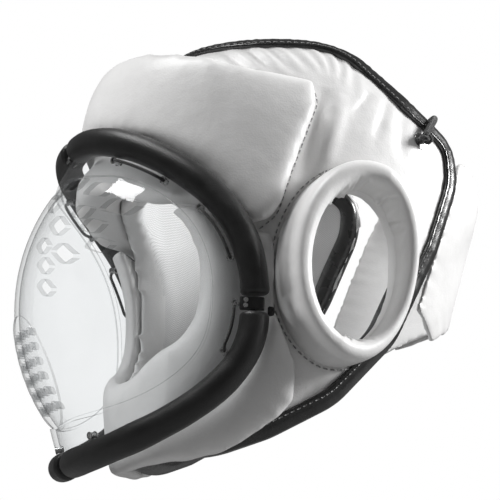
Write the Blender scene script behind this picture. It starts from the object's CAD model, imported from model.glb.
"""Looks of the padded full-face sparring headgear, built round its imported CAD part.

Every length in this file is in millimetres until a mesh is made, where MM turns it into metres.
The frame is the part's own: +X to the wearer's left, -Y where the face looks, +Z up.
"""

from __future__ import annotations

import logging
from dataclasses import dataclass
from enum import Enum
from math import radians

import bpy
import numpy as np
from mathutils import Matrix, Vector


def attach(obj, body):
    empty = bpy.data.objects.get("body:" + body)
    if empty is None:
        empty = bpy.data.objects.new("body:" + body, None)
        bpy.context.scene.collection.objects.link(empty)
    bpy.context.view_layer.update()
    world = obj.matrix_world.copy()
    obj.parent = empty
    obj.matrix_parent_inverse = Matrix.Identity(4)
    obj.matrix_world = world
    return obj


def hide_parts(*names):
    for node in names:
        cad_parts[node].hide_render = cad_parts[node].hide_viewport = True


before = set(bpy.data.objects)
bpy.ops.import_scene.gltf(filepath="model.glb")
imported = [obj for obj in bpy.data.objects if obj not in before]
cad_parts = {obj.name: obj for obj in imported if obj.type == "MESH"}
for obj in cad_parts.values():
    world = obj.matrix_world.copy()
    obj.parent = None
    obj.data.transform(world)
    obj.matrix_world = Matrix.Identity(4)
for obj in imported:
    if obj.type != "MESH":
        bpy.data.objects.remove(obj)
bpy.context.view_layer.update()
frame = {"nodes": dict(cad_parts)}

MM = 0.001
FAR = 200.0  # in front of the whole headgear, where an outline that stays open there begins
LOG = logging.getLogger("headgear")
SIDES = {"left": np.array([1, 1, 1]), "right": np.array([-1, 1, 1])}  # factors that mirror a left shape
Array = np.ndarray
Corners = tuple[tuple[float, float], ...]
Triple = tuple[float, float, float]
Piece = bpy.types.Object
Socket = bpy.types.NodeSocket


# ---- plain geometry ----


def unit(vectors: Array) -> Array:
    """Each vector divided by its own length."""
    return vectors / np.maximum(np.linalg.norm(vectors, axis=-1, keepdims=True), 1e-9)


def power(values: Array, exponent: float) -> Array:
    """Each value's size raised to an exponent, with the value's sign kept."""
    return np.sign(values) * np.abs(values) ** exponent


def between(values: Array, start: float, end: float) -> Array:
    """How far values are on the way from start to end: 0 before start and 1 past end, which may be lower."""
    return np.clip((values - start) / (end - start), 0, 1)


def along(points: Array) -> Array:
    """Distance of each point along the run of points, from the first."""
    steps = np.linalg.norm(np.diff(points, axis=0), axis=1)
    return np.concatenate(([0.0], np.cumsum(steps)))


def resampled(points: Array, pitch: float) -> Array:
    """The same run with its points evenly spaced.

    Args:
        points: points of the run, one per row.
        pitch: wished distance between neighbours.

    Returns:
        Points at equal shares of the run's length, its two ends kept.
    """
    lengths = along(points)
    places = np.linspace(0, lengths[-1], max(2, int(round(lengths[-1] / pitch)) + 1))
    return np.stack([np.interp(places, lengths, points[:, axis]) for axis in range(points.shape[1])], axis=1)


def directions(points: Array, closed: bool = False) -> Array:
    """Unit direction of a run at each of its points.

    Args:
        points: points of the run.
        closed: whether the last point joins the first.

    Returns:
        One unit vector for each point.
    """
    if closed:
        return unit(np.roll(points, -1, axis=0) - np.roll(points, 1, axis=0))
    return unit(np.gradient(points, axis=0))


def rounded(corners: Corners, bend: float, steps: int = 14) -> Array:
    """A side-view outline with each inner corner rounded by a parabola.

    The parabola is (1-s)^2 A + 2 s (1-s) C + s^2 B, where C is the corner and A and B lie on its two
    runs, at the distance where an arc of the wished radius would touch them.

    Args:
        corners: corners (Y, Z) of an open run.
        bend: largest radius at a corner.
        steps: points on each parabola.

    Returns:
        Points of the rounded run.
    """
    knots = np.array(corners, dtype=float)
    run = [knots[:1]]
    share = np.linspace(0, 1, steps)[:, None]
    for before, corner, after in zip(knots, knots[1:], knots[2:]):
        back, ahead = before - corner, after - corner
        shorter = 0.45 * min(np.linalg.norm(back), np.linalg.norm(ahead))
        cosine = np.clip(unit(back) @ unit(ahead), -1, 1)
        reach = min(shorter, bend / np.tan(np.arccos(cosine) / 2))
        start, end = corner + unit(back) * reach, corner + unit(ahead) * reach
        run.append((1 - share) ** 2 * start + 2 * share * (1 - share) * corner + share ** 2 * end)
    run.append(knots[-1:])
    return np.concatenate(run)


def nearest_on(places: Array, run: Array) -> tuple[Array, Array]:
    """How far places are from a run, and where along the run that is.

    Args:
        places: points (Y, Z).
        run: points (Y, Z) of the run, close together.

    Returns:
        The distance of each place from the run, and the distance along the run of its nearest point.
    """
    starts, steps = run[:-1], np.diff(run, axis=0)
    lengths = along(run)
    best = np.full(len(places), np.inf)
    where = np.zeros(len(places))
    for start, step, offset in zip(starts, steps, lengths):
        size = max(float(step @ step), 1e-9)
        share = np.clip((places - start) @ step / size, 0, 1)
        distance = np.linalg.norm(places - start - share[:, None] * step, axis=1)
        closer = distance < best
        best = np.where(closer, distance, best)
        where = np.where(closer, offset + share * np.sqrt(size), where)
    return best, where


def ripple(places: Array, wave: float, seed: int) -> Array:
    """Uneven waves along a line: a sum of three sines near one wavelength, from about -1 to 1.

    Args:
        places: places along the line.
        wave: the usual wavelength.
        seed: seed of the random lengths and phases.

    Returns:
        The height of the waves at each place.
    """
    source = np.random.default_rng(seed)
    lengths = wave * source.uniform(0.75, 1.6, 3)
    phases = source.uniform(0, 2 * np.pi, 3)
    waves = [np.sin(2 * np.pi * places / length + phase) for length, phase in zip(lengths, phases)]
    return np.sum(waves, axis=0) / 2.2


@dataclass(frozen=True)
class HeadForm:
    """Smooth form inside the shell's outer face, as level ovals one above another.

    A point at height z and turn t is (a sin t, m - b cos t, z). The half width a, half depth b and
    middle m follow, between two levels, the cubic whose slope at each level is that of its neighbours.
    """

    levels: tuple[tuple[float, ...], ...] = (
        (-128, 58, 60, -27),
        (-100, 72, 76, -19),
        (-62, 85, 88, -12),
        (-20, 92, 98, -6),
        (20, 93, 105, -1),
        (60, 89, 110, 5),
        (95, 83, 102, 1),
        (115, 75, 92, -1),
        (130, 65, 76, -6),
        (142, 50, 54, -11),
    )

    def radii(self, height: Array, grow: float = 0.0) -> tuple[Array, Array, Array]:
        """Half width, half depth and middle of the oval at each height, grown all round.

        Args:
            height: heights Z.
            grow: how far outside the form the oval lies.

        Returns:
            The three sizes at each height.
        """
        table = np.array(self.levels, dtype=float)
        z = table[:, 0]
        slopes = np.gradient(table[:, 1:], z, axis=0)
        at = np.clip(height, z[0], z[-1])
        low = np.clip(np.searchsorted(z, at, side="right") - 1, 0, len(z) - 2)
        span = z[low + 1] - z[low]
        s = ((at - z[low]) / span)[..., None]
        span = span[..., None]
        values = (
            (2 * s ** 3 - 3 * s ** 2 + 1) * table[low, 1:]
            + (s ** 3 - 2 * s ** 2 + s) * span * slopes[low]
            + (3 * s ** 2 - 2 * s ** 3) * table[low + 1, 1:]
            + (s ** 3 - s ** 2) * span * slopes[low + 1]
        )
        return values[..., 0] + grow, values[..., 1] + grow, values[..., 2]

    def across(self, y: Array, z: Array) -> Array:
        """X of the left side at each (Y, Z)."""
        wide, deep, middle = self.radii(z)
        return wide * np.sqrt(np.clip(1 - ((y - middle) / deep) ** 2, 0, 1))

    def on_left(self, flat: Array) -> Array:
        """Points of the form's left side whose (Y, Z) are given."""
        return np.concatenate((self.across(flat[..., 0], flat[..., 1])[..., None], flat), axis=-1)

    def share(self, points: Array) -> Array:
        """How far out each point is: 1 on the form, less inside it."""
        wide, deep, middle = self.radii(points[:, 2])
        return np.sqrt((points[:, 0] / wide) ** 2 + ((points[:, 1] - middle) / deep) ** 2)

    def depth(self, points: Array) -> Array:
        """About how far each point lies outside the form; negative inside.

        Args:
            points: points, one per row.

        Returns:
            The distance of each point from the form.
        """
        wide, deep, middle = self.radii(points[:, 2])
        share = np.maximum(self.share(points), 1e-6)
        reach = np.hypot(points[:, 0], points[:, 1] - middle)
        return reach * (1 - 1 / share)

    def normals(self, points: Array) -> Array:
        """Outward unit normal of the form at each point on it.

        Args:
            points: points, one per row.

        Returns:
            The slope of the squared share at each point, as a unit vector.
        """
        wide, deep, middle = self.radii(points[:, 2])
        step = 0.5
        raised = np.column_stack((points[:, :2], points[:, 2] + step))
        lowered = np.column_stack((points[:, :2], points[:, 2] - step))
        rise = (self.share(raised) ** 2 - self.share(lowered) ** 2) / (2 * step)
        flat_x = 2 * points[:, 0] / wide ** 2
        flat_y = 2 * (points[:, 1] - middle) / deep ** 2
        return unit(np.column_stack((flat_x, flat_y, rise)))


HEAD = HeadForm()


@dataclass(frozen=True)
class Shape:
    """Sizes and outlines that several pieces share; corners are (Y, Z) on the wearer's left."""

    shell_outline: Corners = (
        (-FAR, 138), (2, 138), (40, 102), (70, 80), (70, 56), (53, 14), (24, -40),
        (-10, -75), (-44, -93), (-70, -102), (-FAR, -102),
    )
    crown_z: float = 138.0
    low_z: float = -102.0
    shell_bend: float = 45.0
    wall: float = 13.5
    forehead_outline: Corners = (
        (-FAR, 150), (-76, 112), (-24, 107), (-20, 95), (-38, 49), (-46, 24), (-60, 16), (-84, 34),
        (-FAR, 42),
    )
    jaw_outline: Corners = (
        (-FAR, 34), (-84, 34), (-60, 16), (-49, 21.5), (-48, -26), (-36, -56), (-33, -76),
        (-50, -92), (-74, -107), (-FAR, -107),
    )
    flap_outline: Corners = (
        (43, -18), (79, 76), (110, 76), (140, 66), (140, -12), (85, -20), (58, -34), (43, -18),
    )
    flap_bend: float = 12.0
    pad_bend: float = 22.0

    def shell_edge(self) -> Array:
        """Points of the shell's free edge."""
        return rounded(self.shell_outline, self.shell_bend)

    def pad_edge(self, corners: Corners) -> Array:
        """Points of a stuffed pad's edge, 3 mm apart."""
        return resampled(rounded(corners, self.pad_bend), 3.0)

    def pad_distance(self, points: Array) -> Array:
        """Distance of each point from the nearer stuffed pad's edge, seen from the side."""
        edges = (self.pad_edge(self.forehead_outline), self.pad_edge(self.jaw_outline))
        return np.minimum(*(nearest_on(points[:, 1:], edge)[0] for edge in edges))


SHAPE = Shape()


# ---- meshes ----


def vertex_mesh(name: str, points: Array, faces: list[list[int]], uv: Array | None = None) -> bpy.types.Mesh:
    """A smooth shaded mesh from points in millimetres, with a UV map when one is given.

    Args:
        name: the mesh's name.
        points: vertices, one per row.
        faces: vertex numbers of each face.
        uv: texture place of every face corner, or None.

    Returns:
        The mesh.
    """
    mesh = bpy.data.meshes.new(name)
    mesh.from_pydata((points * MM).tolist(), [], faces)
    if uv is not None:
        layer = mesh.uv_layers.new(name="UVMap")
        layer.data.foreach_set("uv", np.ascontiguousarray(uv, dtype=np.float32).ravel())
    smooth(mesh)
    mesh.update()
    return mesh


def smooth(mesh: bpy.types.Mesh) -> None:
    """Shades every face of a mesh smooth."""
    mesh.polygons.foreach_set("use_smooth", np.ones(len(mesh.polygons), dtype=bool))


def mesh_object(name: str, points: Array, faces: Array, uv: Array | None = None) -> Piece:
    """A new object at the origin from points in millimetres.

    Args:
        name: the piece's name.
        points: vertices, one per row.
        faces: vertex numbers of each face, one face per row.
        uv: texture place of every face corner, in the order of faces, or None.

    Returns:
        The object, smooth shaded, its faces turned outward by the sign of its volume.
    """
    corners = points[faces]
    volume = np.einsum("ij,ij->i", corners[:, 0], np.cross(corners[:, 1], corners[:, 2])).sum()
    if faces.shape[1] == 4:
        volume += np.einsum("ij,ij->i", corners[:, 0], np.cross(corners[:, 2], corners[:, 3])).sum()
    if volume < 0:
        faces = faces[:, ::-1]
        uv = None if uv is None else uv.reshape(faces.shape[0], faces.shape[1], 2)[:, ::-1].reshape(-1, 2)
    piece = bpy.data.objects.new(name, vertex_mesh(name, points, faces.tolist(), uv))
    bpy.context.scene.collection.objects.link(piece)
    return piece


def grid_faces(rows: int, columns: int, close_rows: bool, close_columns: bool) -> Array:
    """Quads between neighbouring points of a grid whose points are numbered row by row.

    Args:
        rows: rows of points.
        columns: points in a row.
        close_rows: whether the last row joins the first.
        close_columns: whether each row's last point joins its first.

    Returns:
        Four vertex numbers for each face.
    """
    row = np.arange(rows if close_rows else rows - 1)[:, None]
    column = np.arange(columns if close_columns else columns - 1)[None, :]
    next_row, next_column = (row + 1) % rows, (column + 1) % columns
    quads = (
        row * columns + column, next_row * columns + column,
        next_row * columns + next_column, row * columns + next_column,
    )
    return np.stack([np.broadcast_to(part, (row.size, column.size)).ravel() for part in quads], axis=1)


def tube_object(name: str, grid: Array, closed: bool = False) -> Piece:
    """A tube from rings of points, with its ends shut by a point in the middle of each.

    Args:
        name: the piece's name.
        grid: points, rings by points round a ring by 3.
        closed: whether the last ring joins the first.

    Returns:
        The object, with u round the ring and v along the tube in metres in its UV map.
    """
    rings, around = grid.shape[:2]
    if not closed:
        start = np.repeat(grid[:1].mean(axis=1, keepdims=True), around, axis=1)
        end = np.repeat(grid[-1:].mean(axis=1, keepdims=True), around, axis=1)
        near_start = start + (grid[:1] - start) * 0.5
        near_end = end + (grid[-1:] - end) * 0.5
        grid = np.concatenate((start, near_start, grid, near_end, end))
        rings += 4
    centres = grid.mean(axis=1)
    lengths = along(np.concatenate((centres, centres[:1])) if closed else centres) * MM
    girth = float(np.linalg.norm(np.diff(grid[rings // 2], axis=0), axis=1).sum()) * MM
    faces = grid_faces(rings, around, close_rows=closed, close_columns=True)
    row, column = faces[:, 0] // around, faces[:, 0] % around
    u0, u1 = column / around * girth, (column + 1) / around * girth
    v0, v1 = lengths[row], lengths[row + 1 if closed else np.minimum(row + 1, rings - 1)]
    uv = np.stack([np.column_stack(pair) for pair in ((u0, v0), (u0, v1), (u1, v1), (u1, v0))], axis=1)
    piece = mesh_object(name, grid.reshape(-1, 3), faces, uv.reshape(-1, 2))
    if not closed:
        merge_doubles(piece)
    return piece


def merge_doubles(piece: Piece, distance: float = 0.0005) -> None:
    """Joins points of a piece that lie in one place, as at a tube's end.

    Args:
        piece: a piece whose faces all have as many corners.
        distance: how near two points are that become one, in millimetres.
    """
    mesh = piece.data
    points = mesh_points(piece)
    keys = np.round(points / distance).astype(np.int64)
    _, first, number = np.unique(keys, axis=0, return_index=True, return_inverse=True)
    number = number.reshape(-1)
    corners = np.array([tuple(polygon.vertices) for polygon in mesh.polygons])
    joined = number[corners]
    uv = np.empty(len(mesh.loops) * 2, dtype=np.float32)
    mesh.uv_layers[0].data.foreach_get("uv", uv)
    uv = uv.reshape(len(corners), -1, 2)
    faces, places = [], []
    for face, spots in zip(joined.tolist(), uv.tolist()):
        kept = [k for k in range(len(face)) if face[k] != face[k - 1]]
        if len(kept) > 2:
            faces.append([face[k] for k in kept])
            places += [spots[k] for k in kept]
    piece.data = vertex_mesh(mesh.name, points[first], faces, np.array(places))
    bpy.data.meshes.remove(mesh)


def read_vectors(elements: bpy.types.bpy_prop_collection, name: str) -> Array:
    """A named vector of each vertex or face of a mesh, one per row.

    Args:
        elements: the mesh's vertices, normals or faces.
        name: name of the vector.

    Returns:
        The vectors.
    """
    flat = np.empty(len(elements) * 3)
    elements.foreach_get(name, flat)
    return flat.reshape(-1, 3)


def mesh_points(piece: Piece) -> Array:
    """A piece's vertices in millimetres."""
    return read_vectors(piece.data.vertices, "co") / MM


def mesh_normals(piece: Piece) -> Array:
    """A piece's vertex normals."""
    return read_vectors(piece.data.vertex_normals, "vector")


def move_points(piece: Piece, points: Array) -> None:
    """Sets a piece's vertices, in millimetres."""
    piece.data.vertices.foreach_set("co", (points * MM).ravel())
    piece.data.update()


def mark_seam(piece: Piece, values: Array) -> None:
    """Stores how near a seam every vertex is, from 0 to 1, which the leather's finish reads."""
    layer = piece.data.attributes.new(name="seam", type="FLOAT", domain="POINT")
    layer.data.foreach_set("value", np.ascontiguousarray(values, dtype=np.float32))


def two_slots(mesh: bpy.types.Mesh, second: Array) -> None:
    """Gives a mesh two empty material slots, the second one for the chosen faces.

    Args:
        mesh: the mesh.
        second: true for the faces of the second slot.
    """
    mesh.materials.clear()
    mesh.materials.append(None)
    mesh.materials.append(None)
    mesh.polygons.foreach_set("material_index", second.astype(np.int32))


def across_path(path: Array, closed: bool = False) -> tuple[Array, Array]:
    """Two unit vectors across a path that turn as little as they can.

    The first starts as near to upright as the path allows and then loses, at each point, its part along
    the path. On a closed path the turn that is left at its end is shared out along the whole of it.

    Args:
        path: points of the path.
        closed: whether it joins up.

    Returns:
        The first and the second vector across, at each point.
    """
    ahead = directions(path, closed)
    first, nearly_along = np.array([0.0, 0.0, 1.0]), 0.95
    if abs(first @ ahead[0]) > nearly_along:
        first = np.array([1.0, 0.0, 0.0])
    rows = []
    for direction in ahead:
        first = unit(first - (first @ direction) * direction)
        rows.append(first)
    across = np.array(rows)
    if closed:
        other = np.cross(ahead, across)
        slip = np.arctan2(across[-1] @ other[0], across[-1] @ across[0])
        turn = (-slip * np.arange(len(path)) / len(path))[:, None]
        across = np.cos(turn) * across + np.sin(turn) * other
    return across, np.cross(ahead, across)


def round_tube(name: str, path: Array, radius: Array | float, around: int, closed: bool = False) -> Piece:
    """A tube of round section along a path: centre + r (cos u, sin u) in the plane across it.

    Args:
        name: the piece's name.
        path: points of the path.
        radius: one radius, or one for each point.
        around: points round the tube.
        closed: whether the path joins up.

    Returns:
        The tube.
    """
    first, second = across_path(path, closed)
    turn = np.linspace(0, 2 * np.pi, around, endpoint=False)
    spokes = np.cos(turn)[None, :, None] * first[:, None] + np.sin(turn)[None, :, None] * second[:, None]
    sizes = np.broadcast_to(np.asarray(radius, dtype=float), (len(path),))
    return tube_object(name, path[:, None] + spokes * sizes[:, None, None], closed)


def domed_ends(path: Array, radius: float, edge: float, steps: int = 5) -> tuple[Array, Array]:
    """A path with extra points near its ends, and radii that round a tube's two ends off.

    Args:
        path: points of the path.
        radius: the tube's radius.
        edge: radius of the rounding at each end.
        steps: rings in each rounding.

    Returns:
        The new path and the tube's radius at each of its points.
    """
    lengths = along(path)
    turn = np.linspace(0, np.pi / 2, steps)
    near = edge * (1 - np.cos(turn))
    between_ends = lengths[(lengths > edge) & (lengths < lengths[-1] - edge)]
    places = np.concatenate((near, between_ends, (lengths[-1] - near)[::-1]))
    sizes = np.full(len(places), radius)
    sizes[:steps] = radius - edge + edge * np.sin(turn)
    sizes[-steps:] = sizes[:steps][::-1]
    fresh = np.stack([np.interp(places, lengths, path[:, axis]) for axis in range(3)], axis=1)
    return fresh, sizes


def stitch_row(
    name: str, centres: Array, ahead: Array, up: Array, sizes: Triple, around: int = 6, rings: int = 5
) -> Piece:
    """A row of stitches as small rounded bars in one mesh.

    Each bar's point at turns a and b is (l sin b, w c cos a, h c sin a) along, across and up, where c is
    the square root of cos b.

    Args:
        name: the piece's name.
        centres: middle of each bar.
        ahead: unit direction of each bar's length.
        up: unit direction of each bar's height.
        sizes: half length, half width and half height.
        around: points round a bar.
        rings: rings along a bar, its two poles among them.

    Returns:
        The row.
    """
    half_length, half_width, half_height = sizes
    pole = np.linspace(-np.pi / 2, np.pi / 2, rings)[:, None]
    turn = np.linspace(0, 2 * np.pi, around, endpoint=False)[None, :]
    belly = np.cos(pole) ** 0.5
    lengthways = half_length * np.sin(pole) + 0 * turn
    local = (lengthways, half_width * belly * np.cos(turn), half_height * belly * np.sin(turn))
    body = np.stack(local, axis=-1)[1:-1].reshape(-1, 3)
    template = np.concatenate((body, [[-half_length, 0, 0], [half_length, 0, 0]]))
    quads = grid_faces(rings - 2, around, close_rows=False, close_columns=True)
    ring = np.arange(around)
    last = (rings - 3) * around
    low = np.column_stack((np.full(around, len(body)), (ring + 1) % around, ring))
    high = np.column_stack((np.full(around, len(body) + 1), last + ring, last + (ring + 1) % around))
    triangles = np.concatenate((quads[:, [0, 1, 2]], quads[:, [0, 2, 3]], low, high))
    side = unit(np.cross(up, ahead))
    points = (
        centres[:, None]
        + template[None, :, :1] * ahead[:, None]
        + template[None, :, 1:2] * side[:, None]
        + template[None, :, 2:] * up[:, None]
    ).reshape(-1, 3)
    faces = (triangles[None] + (np.arange(len(centres)) * len(template))[:, None, None]).reshape(-1, 3)
    return mesh_object(name, points, faces)


# ---- padded pieces ----


def merged_nodes(name: str, nodes: tuple[str, ...], voxel: float) -> Piece:
    """One closed mesh round several CAD solids, with even faces and no walls inside.

    Args:
        name: the new piece's name.
        nodes: CAD nodes to take together.
        voxel: size of the new faces.

    Returns:
        The object.
    """
    points, faces, count = [], [], 0
    for node in nodes:
        mesh = frame["nodes"][node].data
        mesh.calc_loop_triangles()
        corners = np.empty(len(mesh.loop_triangles) * 3, dtype=np.int64)
        mesh.loop_triangles.foreach_get("vertices", corners)
        points.append(mesh_points(frame["nodes"][node]))
        faces.append(corners.reshape(-1, 3) + count)
        count += len(mesh.vertices)
    rough = mesh_object(name, np.concatenate(points), np.concatenate(faces))
    remesh = rough.modifiers.new("even", "REMESH")
    remesh.mode = "VOXEL"
    remesh.voxel_size = voxel * MM
    remesh.use_smooth_shade = True
    apply_modifiers(rough)
    return rough


def apply_modifiers(piece: Piece) -> None:
    """Takes a piece's modifiers into its mesh.

    Args:
        piece: a piece with modifiers.
    """
    graph = bpy.context.evaluated_depsgraph_get()
    fresh = bpy.data.meshes.new_from_object(piece.evaluated_get(graph))
    old = piece.data
    piece.modifiers.clear()
    piece.data = fresh
    fresh.name = piece.name
    bpy.data.meshes.remove(old)
    smooth(fresh)


def subdivide(piece: Piece) -> None:
    """Rounds a piece by one level of subdivision and keeps the result.

    Args:
        piece: the piece.
    """
    modifier = piece.modifiers.new("round", "SUBSURF")
    modifier.levels = modifier.render_levels = 1
    apply_modifiers(piece)


def relax(piece: Piece, rounds: int) -> None:
    """Smooths a piece's mesh: in each round every point moves halfway to its neighbours' middle.

    Args:
        piece: the piece.
        rounds: how many times it is smoothed.
    """
    modifier = piece.modifiers.new("relax", "SMOOTH")
    modifier.factor = 0.5
    modifier.iterations = rounds
    apply_modifiers(piece)


def swell(piece: Piece, pressure: float, cap: float, held: Array, frames: int = 18) -> None:
    """Args:
        piece: a closed mesh.
        pressure: the cloth's pressure.
        cap: farthest that any point may move.
        held: 1 for points that stay where they are, 0 for free ones.
        frames: length of the simulation.
    """
    start = mesh_points(piece)
    group = piece.vertex_groups.new(name="held")
    band = 0.25
    for level in (0.25, 0.5, 0.75, 1.0):
        chosen = np.nonzero((held > level - band) & (held <= level))[0]
        if len(chosen):
            group.add(chosen.tolist(), level, "REPLACE")
    cloth = piece.modifiers.new("swell", "CLOTH")
    settings = cloth.settings
    settings.quality = 4
    settings.mass = 0.3
    settings.tension_stiffness = settings.compression_stiffness = 12
    settings.shear_stiffness = 8
    settings.bending_stiffness = 2
    settings.use_pressure = True
    settings.uniform_pressure_force = pressure
    settings.effector_weights.gravity = 0
    settings.vertex_group_mass = group.name
    cloth.collision_settings.use_collision = False
    scene = bpy.context.scene
    scene.frame_start, scene.frame_end = 1, frames
    cloth.point_cache.frame_start, cloth.point_cache.frame_end = 1, frames
    for number in range(1, frames + 1):
        scene.frame_set(number)
    apply_modifiers(piece)
    scene.frame_set(1)
    move = mesh_points(piece) - start
    size = np.linalg.norm(move, axis=1, keepdims=True)
    move *= np.minimum(1, cap / np.maximum(size, 1e-6)) * (1 - held[:, None])
    move_points(piece, start + move)
    piece.vertex_groups.clear()


# ---- finishes ----


class Recipe:
    """A material's node tree, built one node at a time."""

    def __init__(self, name: str) -> None:
        """Starts an empty tree with its output and its main shader.

        Args:
            name: the material's name.
        """
        self.material = bpy.data.materials.new(name)
        self.material.use_nodes = True
        self.tree = self.material.node_tree
        self.tree.nodes.clear()
        self.output = self.tree.nodes.new("ShaderNodeOutputMaterial")
        self.shader = self.tree.nodes.new("ShaderNodeBsdfPrincipled")
        self.surface(self.shader.outputs[0])

    def link(self, source: Socket, target: Socket) -> None:
        """Joins two sockets."""
        self.tree.links.new(source, target)

    def fill(self, target: Socket, value: object) -> None:
        """Gives a socket its value, or the link it is fed by.

        Args:
            target: the socket.
            value: a number or a colour, or an output socket to link.
        """
        if isinstance(value, Socket):
            self.link(value, target)
        else:
            target.default_value = value

    def node(
        self, kind: str, inputs: dict[str | int, object] | None = None, **settings: object
    ) -> bpy.types.Node:
        """Adds a node.

        Args:
            kind: Blender's name for the node.
            inputs: socket name to a value, or to an output socket to link.
            settings: the node's own properties.

        Returns:
            The node.
        """
        fresh = self.tree.nodes.new(kind)
        for key, value in settings.items():
            setattr(fresh, key, value)
        for key, value in (inputs or {}).items():
            self.fill(fresh.inputs[key], value)
        return fresh

    def place(self, uv: bool = False) -> Socket:
        """Where a pattern is read: the piece's own object coordinates, or its UV map."""
        return self.node("ShaderNodeTexCoord").outputs["UV" if uv else "Object"]

    def noise(
        self, scale: float, detail: float = 3.0, rough: float = 0.5, place: Socket | None = None
    ) -> Socket:
        """Cloudy noise from 0 to 1, with scale in waves a metre."""
        inputs = {"Vector": place or self.place(), "Scale": scale, "Detail": detail, "Roughness": rough}
        return self.node("ShaderNodeTexNoise", inputs).outputs[0]

    def cells(self, scale: float) -> Socket:
        """Distance inside the cells of a Voronoi pattern, with scale in cells a metre."""
        return self.node("ShaderNodeTexVoronoi", {"Vector": self.place(), "Scale": scale}).outputs["Distance"]

    def ramp(self, value: Socket, low: float, high: float, start: float, end: float) -> Socket:
        """Maps the range low to high onto start to end, held at its ends."""
        inputs = {"Value": value, "From Min": low, "From Max": high, "To Min": start, "To Max": end}
        return self.node("ShaderNodeMapRange", inputs).outputs[0]

    def maths(self, operation: str, first: object, second: object) -> Socket:
        """One sum on two numbers or sockets."""
        return self.node("ShaderNodeMath", {0: first, 1: second}, operation=operation).outputs[0]

    def wave(self, place: Socket, count: float) -> Socket:
        """A sine of a coordinate, with so many waves a metre."""
        return self.maths("SINE", self.maths("MULTIPLY", place, 2 * np.pi * count), 0.0)

    def seam(self) -> Socket:
        """How near a seam the surface is, from 0 to 1, as stored on the piece's points."""
        return self.node("ShaderNodeAttribute", attribute_name="seam").outputs["Fac"]

    def blend(self, share: Socket, first: object, second: object) -> Socket:
        """A colour between two colours, which sit in the mix node's seventh and eighth inputs."""
        return self.node("ShaderNodeMix", {"Factor": share, 6: first, 7: second}, data_type="RGBA").outputs[2]

    def mix(self, share: object, first: Socket, second: Socket) -> Socket:
        """A shader between two shaders."""
        return self.node("ShaderNodeMixShader", {0: share, 1: first, 2: second}).outputs[0]

    def surface(self, shader: Socket) -> None:
        """Puts another shader on the surface in place of the main one."""
        self.link(shader, self.output.inputs["Surface"])

    def colour(self, value: Socket) -> None:
        """Sets the shader's colour."""
        self.link(value, self.shader.inputs["Base Color"])

    def roughness(self, value: Socket) -> None:
        """Sets the shader's roughness."""
        self.link(value, self.shader.inputs["Roughness"])

    def plain(self, **values: object) -> None:
        """Sets sockets that are the same all over the surface."""
        for name, value in values.items():
            self.shader.inputs[name.replace("_", " ")].default_value = value

    def bumps(self, *layers: tuple[Socket, float]) -> None:
        """Raises the surface by several height patterns, each with its depth in millimetres.

        Args:
            layers: a height from 0 to 1 with its depth, for each pattern.
        """
        below = {}
        for height, depth in layers:
            inputs = {"Height": height, "Strength": 1.0, "Distance": depth * MM, **below}
            below = {"Normal": self.node("ShaderNodeBump", inputs).outputs[0]}
        self.link(below["Normal"], self.shader.inputs["Normal"])


def grey(level: float, warm: float = 0.0) -> tuple[float, ...]:
    """A linear grey, a little warm or cool."""
    return (level * (1 + warm), level, level * (1 - warm), 1.0)


@dataclass(frozen=True)
class Leather:
    """Synthetic leather: a fine pebbled grain, soft dimples and dulled, greyer seams."""

    name: str = "white_leather"
    level: float = 0.80
    warm: float = 0.004
    rough: tuple[float, float] = (0.36, 0.50)
    cloud: float = 35.0
    scuff: float = 240.0
    scuff_share: float = 0.22
    seam_grey: float = 0.38
    seam_dull: float = 0.12
    dimple: float = 70.0
    dimple_depth: float = 0.5
    grain: float = 900.0
    grain_depth: float = 0.05
    coat: float = 0.12

    def material(self) -> bpy.types.Material:
        """Builds the finish.

        Returns:
            The material.
        """
        recipe = Recipe(self.name)
        seam = recipe.seam()
        cloud = recipe.noise(self.cloud, 4.0, 0.6)
        scuff = recipe.ramp(recipe.noise(self.scuff, 5.0, 0.65), 0.5, 0.75, 0.0, self.scuff_share)
        body = recipe.blend(cloud, grey(self.level * 0.95, self.warm), grey(self.level * 1.04, self.warm))
        worn = recipe.blend(scuff, body, grey(self.level * 0.84, self.warm * 4))
        soiled = recipe.maths("MULTIPLY", seam, self.seam_grey)
        recipe.colour(recipe.blend(soiled, worn, grey(self.level * 0.55, self.warm * 3)))
        dull = recipe.maths("MULTIPLY", seam, self.seam_dull)
        recipe.roughness(recipe.maths("ADD", recipe.ramp(cloud, 0.3, 0.7, *self.rough), dull))
        recipe.plain(Coat_Weight=self.coat, Coat_Roughness=0.28)
        recipe.bumps(
            (recipe.noise(self.dimple, 2.0, 0.45), self.dimple_depth),
            (recipe.cells(self.grain), self.grain_depth),
            (recipe.noise(self.grain * 2.4, 2.0, 0.6), self.grain_depth * 0.6),
        )
        return recipe.material


@dataclass(frozen=True)
class GlossBinding:
    """Gloss black binding leather, crinkled a little by its stitches."""

    name: str = "gloss_black_binding"
    level: float = 0.012
    rough: tuple[float, float] = (0.20, 0.36)
    crinkle: float = 260.0
    crinkle_depth: float = 0.10
    grain: float = 1100.0
    grain_depth: float = 0.03

    def material(self) -> bpy.types.Material:
        """Builds the finish.

        Returns:
            The material.
        """
        recipe = Recipe(self.name)
        crinkle = recipe.noise(self.crinkle, 4.0, 0.6)
        recipe.colour(recipe.blend(crinkle, grey(self.level), grey(self.level * 2.6)))
        recipe.roughness(recipe.ramp(recipe.noise(90.0, 3.0), 0.3, 0.7, *self.rough))
        recipe.plain(Coat_Weight=0.35, Coat_Roughness=0.12)
        recipe.bumps((crinkle, self.crinkle_depth), (recipe.cells(self.grain), self.grain_depth))
        return recipe.material


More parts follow.
